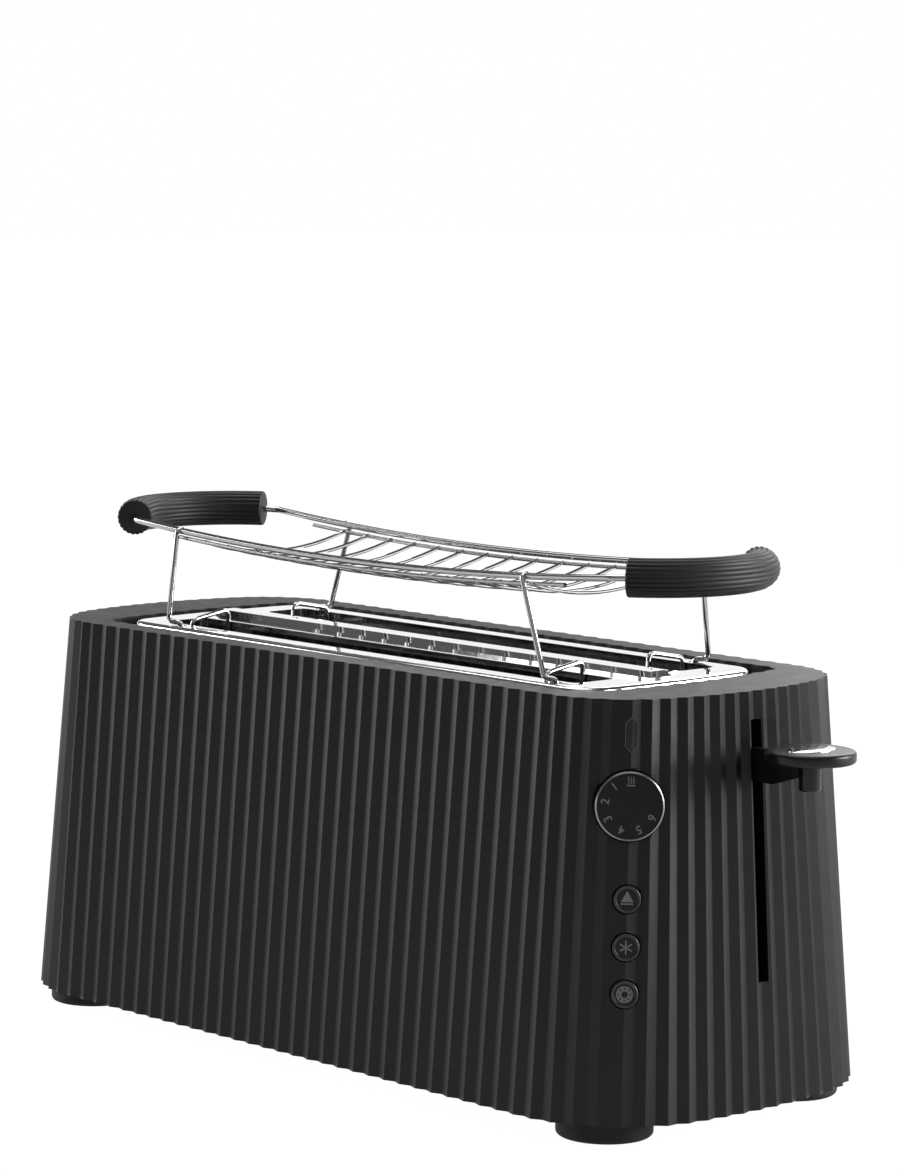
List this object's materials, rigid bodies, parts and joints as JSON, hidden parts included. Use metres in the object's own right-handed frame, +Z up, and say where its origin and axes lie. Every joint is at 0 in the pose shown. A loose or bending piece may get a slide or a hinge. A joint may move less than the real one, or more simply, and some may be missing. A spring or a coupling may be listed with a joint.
{
  "type": "long-slot toaster",
  "caption": "Long-slot toaster with a pleated black tapered casing, polished slotted top, side lever, corner dial and buttons, and a lift-off bun warmer.",
  "frame": {"origin": "centre of the whole toaster's bounding box, on the surface that the feet stand on", "axes": "+Z up, +X along the slots towards the lever, +Y away from the long side beside the control corner"},
  "size_m": [0.4618, 0.1782, 0.239],
  "materials": {
    "black_shell": "matte, fine moulded",
    "polished_steel": "mirror polished",
    "chrome_wire": "bright chromed wire",
    "black_grip": "satin, fluted",
    "control_black": "satin",
    "plate_steel": "zinc plated",
    "tray_aluminium": "mill",
    "reflector_steel": "bright",
    "guard_wire": "bright wire",
    "mica": "mica sheet",
    "ribbon": "resistance ribbon",
    "foot_rubber": "matte",
    "gland_rubber": "matte",
    "circuit_board": "laminate",
    "component_black": "moulded",
    "lens_clear": "smoked clear",
    "lamp_red": "clear red"
  },
  "bodies": {
    "housing": {"base_plate": "plate_steel", "base_screws": "plate_steel", "browning_control": "component_black", "button_switches": "component_black", "casing": "black_shell", "chassis_left": "plate_steel", "chassis_right": "plate_steel", "control_board": "circuit_board", "cord_gland": "gland_rubber", "foot_far_left": "foot_rubber", "foot_far_right": "foot_rubber", "foot_near_left": "foot_rubber", "foot_near_right": "foot_rubber", "guide_rod_far": "plate_steel", "guide_rod_near": "plate_steel", "heater_board_far_inner": "mica", "heater_board_far_outer": "mica", "heater_board_near_inner": "mica", "heater_board_near_outer": "mica", "heater_ribbon_far_inner": "ribbon", "heater_ribbon_far_outer": "ribbon", "heater_ribbon_near_inner": "ribbon", "heater_ribbon_near_outer": "ribbon", "indicator_lamp": "lamp_red", "indicator_lens": "lens_clear", "latch_magnet": "component_black", "power_board": "circuit_board", "reflector_far": "reflector_steel", "reflector_near": "reflector_steel", "return_spring": "plate_steel", "rod_bridge": "plate_steel", "slot_end_hoops": "polished_steel", "top_plate": "polished_steel"},
    "carriage": {"carriage_bracket": "plate_steel", "bread_rest_near": "plate_steel", "bread_rest_far": "plate_steel", "lever_arm": "plate_steel", "lever_knob": "black_shell", "knob_inlay": "polished_steel", "latch_armature": "plate_steel"},
    "dial": {"dial": "control_black"},
    "eject_button": {"eject_button": "control_black"},
    "defrost_button": {"defrost_button": "control_black"},
    "bagel_button": {"bagel_button": "control_black"},
    "crumb_tray": {"crumb_tray": "tray_aluminium", "crumb_tray_front": "black_shell"},
    "bun_warmer": {"rack_wires": "chrome_wire", "rack_grip_left": "black_grip", "rack_grip_right": "black_grip"},
    "guard_near_inner": {"bread_guard_near_inner": "guard_wire"},
    "guard_near_outer": {"bread_guard_near_outer": "guard_wire"},
    "guard_far_inner": {"bread_guard_far_inner": "guard_wire"},
    "guard_far_outer": {"bread_guard_far_outer": "guard_wire"}
  },
  "joints": [
    {"name": "lever_slide", "type": "slide", "parent": "housing", "child": "carriage", "axis": [0, 0, 1], "range_m": [-0.08, 0], "stiffness_N_per_m": 120, "springref_m": 0.03, "deforming": ["return_spring"]},
    {"name": "guard_near_inner_tilt", "type": "hinge", "parent": "housing", "child": "guard_near_inner", "pos_m": [-0.01905, -0.021, 0.028], "axis": [1, 0, 0], "range_deg": [0, 3.1]},
    {"name": "guard_near_outer_tilt", "type": "hinge", "parent": "housing", "child": "guard_near_outer", "pos_m": [-0.01905, -0.041, 0.028], "axis": [1, 0, 0], "range_deg": [-3.1, 0]},
    {"name": "guard_far_inner_tilt", "type": "hinge", "parent": "housing", "child": "guard_far_inner", "pos_m": [-0.01905, 0.021, 0.028], "axis": [1, 0, 0], "range_deg": [-3.1, 0]},
    {"name": "guard_far_outer_tilt", "type": "hinge", "parent": "housing", "child": "guard_far_outer", "pos_m": [-0.01905, 0.041, 0.028], "axis": [1, 0, 0], "range_deg": [0, 3.1]},
    {"name": "dial_turn", "type": "hinge", "parent": "housing", "child": "dial", "pos_m": [0.16965, -0.06228, 0.1405], "axis": [0.7533, -0.653, 0.0778], "range_deg": [-246, 0]},
    {"name": "eject_press", "type": "slide", "parent": "housing", "child": "eject_button", "axis": [-0.7533, 0.653, -0.0778], "range_m": [0, 0.0025], "stiffness_N_per_m": 300, "springref_m": -0.001},
    {"name": "defrost_press", "type": "slide", "parent": "housing", "child": "defrost_button", "axis": [-0.7533, 0.653, -0.0778], "range_m": [0, 0.0025], "stiffness_N_per_m": 300, "springref_m": -0.001},
    {"name": "bagel_press", "type": "slide", "parent": "housing", "child": "bagel_button", "axis": [-0.7533, 0.653, -0.0778], "range_m": [0, 0.0025], "stiffness_N_per_m": 300, "springref_m": -0.001},
    {"name": "tray_slide", "type": "slide", "parent": "housing", "child": "crumb_tray", "axis": [-1, 0, 0], "range_m": [0, 0.3]},
    {"name": "bun_warmer_lift", "type": "slide", "parent": "housing", "child": "bun_warmer", "axis": [0, 0, 1], "range_m": [0, 0.08]}
  ],
  "couplings": [
    {"joint": "guard_near_inner_tilt", "follows": "lever_slide", "rad_per_m": -0.6545},
    {"joint": "guard_near_outer_tilt", "follows": "lever_slide", "rad_per_m": 0.6545},
    {"joint": "guard_far_inner_tilt", "follows": "lever_slide", "rad_per_m": 0.6545},
    {"joint": "guard_far_outer_tilt", "follows": "lever_slide", "rad_per_m": -0.6545}
  ]
}
